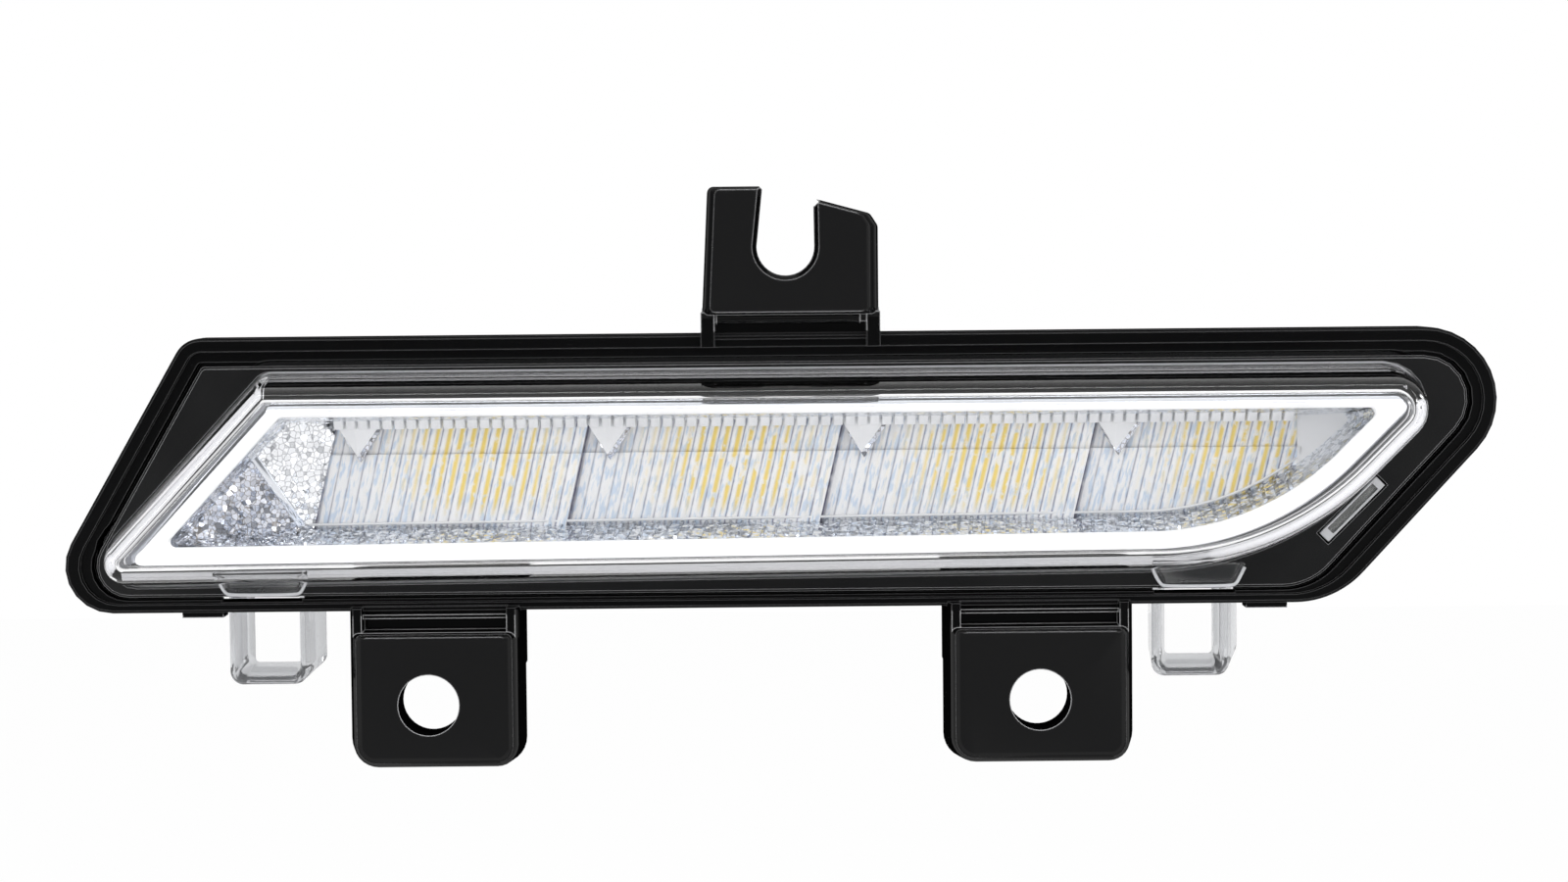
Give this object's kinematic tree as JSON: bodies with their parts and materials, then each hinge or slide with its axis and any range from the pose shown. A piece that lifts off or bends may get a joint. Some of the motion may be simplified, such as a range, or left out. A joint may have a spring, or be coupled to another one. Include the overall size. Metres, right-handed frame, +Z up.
{
  "type": "daytime running light",
  "caption": "Slim slanted daytime running light with clear domed lens, fluted bright reflector, black housing, bolt ears below and a fork bracket on top.",
  "frame": {"origin": "midway between the two lower bolt holes, on the front face of their ears", "axes": "X runs along the lamp, the lens looks towards -Y, Z is up"},
  "size_m": [0.2009, 0.052, 0.0811],
  "materials": {
    "housing_black": "satin moulded black",
    "bezel_black": "smooth moulded black",
    "lens_clear": "clear polycarbonate",
    "sealant": "cured sealant",
    "reflector_metallised": "vacuum metallised",
    "board_white": "white solder resist",
    "led_phosphor": "yellow phosphor",
    "heat_sink_aluminium": "extruded",
    "screw_steel": "zinc plated",
    "board_green": "green solder resist",
    "component_black": "moulded package",
    "capacitor_can": "drawn can",
    "pin_brass": "tinned",
    "wire_sleeve": "insulated wire",
    "vent_rubber": "moulded rubber"
  },
  "bodies": {
    "root": {"rear_housing": "housing_black", "front_bezel": "bezel_black", "outer_lens": "lens_clear", "lens_seal": "sealant", "reflector": "reflector_metallised", "led_board": "board_white", "led_1": "led_phosphor", "led_2": "led_phosphor", "led_3": "led_phosphor", "led_4": "led_phosphor", "heat_sink": "heat_sink_aluminium", "led_board_screws": "screw_steel", "driver_board": "board_green", "driver_chip": "component_black", "inductor": "component_black", "capacitor_1": "capacitor_can", "capacitor_2": "capacitor_can", "diode": "component_black", "driver_screws": "screw_steel", "reflector_screws": "screw_steel", "pin_1": "pin_brass", "pin_2": "pin_brass", "link_wire_1": "wire_sleeve", "link_wire_2": "wire_sleeve", "breather_vent": "vent_rubber"}
  },
  "joints": []
}
